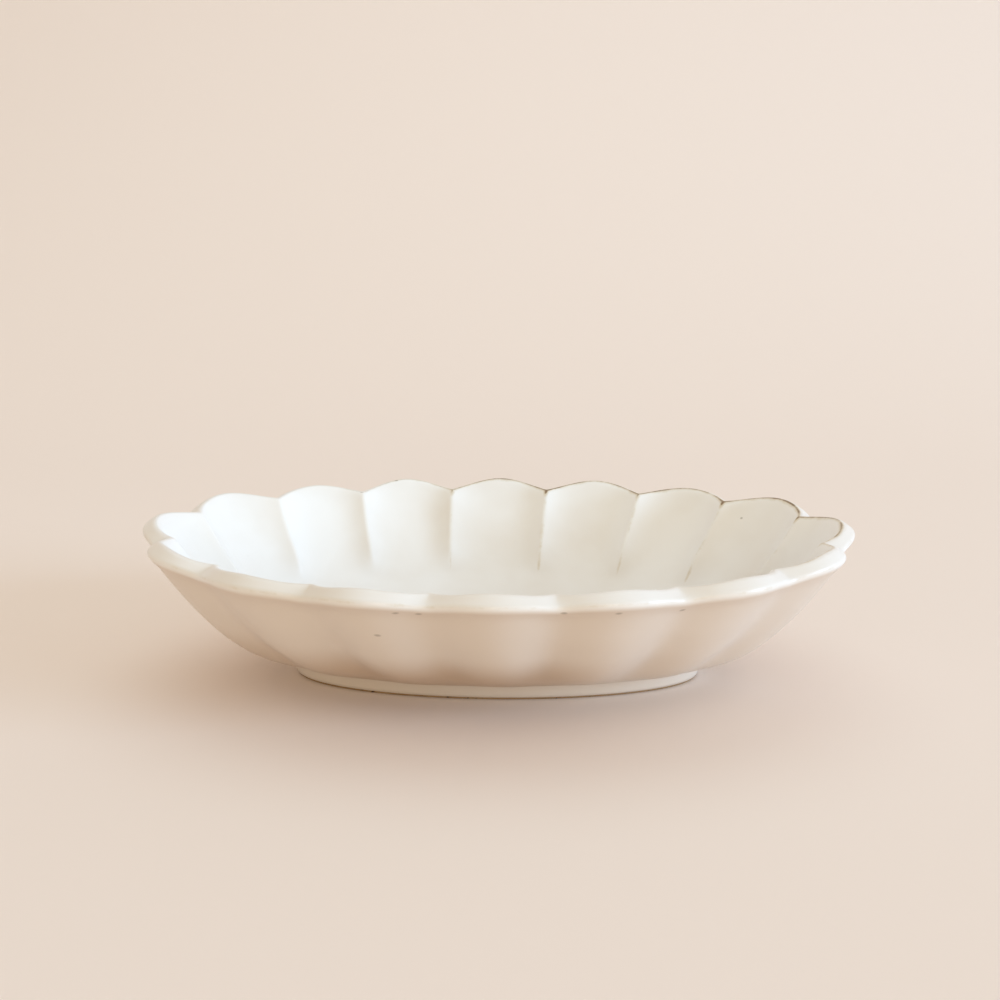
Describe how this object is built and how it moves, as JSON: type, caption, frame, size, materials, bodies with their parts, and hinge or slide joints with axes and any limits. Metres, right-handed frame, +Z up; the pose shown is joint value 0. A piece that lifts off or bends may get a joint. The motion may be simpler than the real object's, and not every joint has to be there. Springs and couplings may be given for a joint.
{
  "type": "oval serving dish",
  "caption": "Oval serving dish in white glazed stoneware with a fluted wall of petals, a scalloped lip and a low oval foot ring; holds and serves food.",
  "frame": {"origin": "centre of the dish on the plane of its foot", "axes": "+X along the length of the dish, +Y along its width, +Z up out of the dish"},
  "size_m": [0.24, 0.17, 0.055],
  "materials": {
    "stoneware_body": "fired brown stoneware, bare only along the inner corner of the lip",
    "foot_ring": "fired stoneware, bare and smooth where it meets the table",
    "inner_glaze": "glossy milk-white glaze",
    "outer_glaze": "glossy milk-white glaze, a little warmer than the inside",
    "base_glaze": "satin milk-white glaze under the base"
  },
  "bodies": {
    "root": {"stoneware_body": "stoneware_body", "foot_ring": "foot_ring", "inner_glaze": "inner_glaze", "outer_glaze": "outer_glaze", "base_glaze": "base_glaze"}
  },
  "joints": []
}
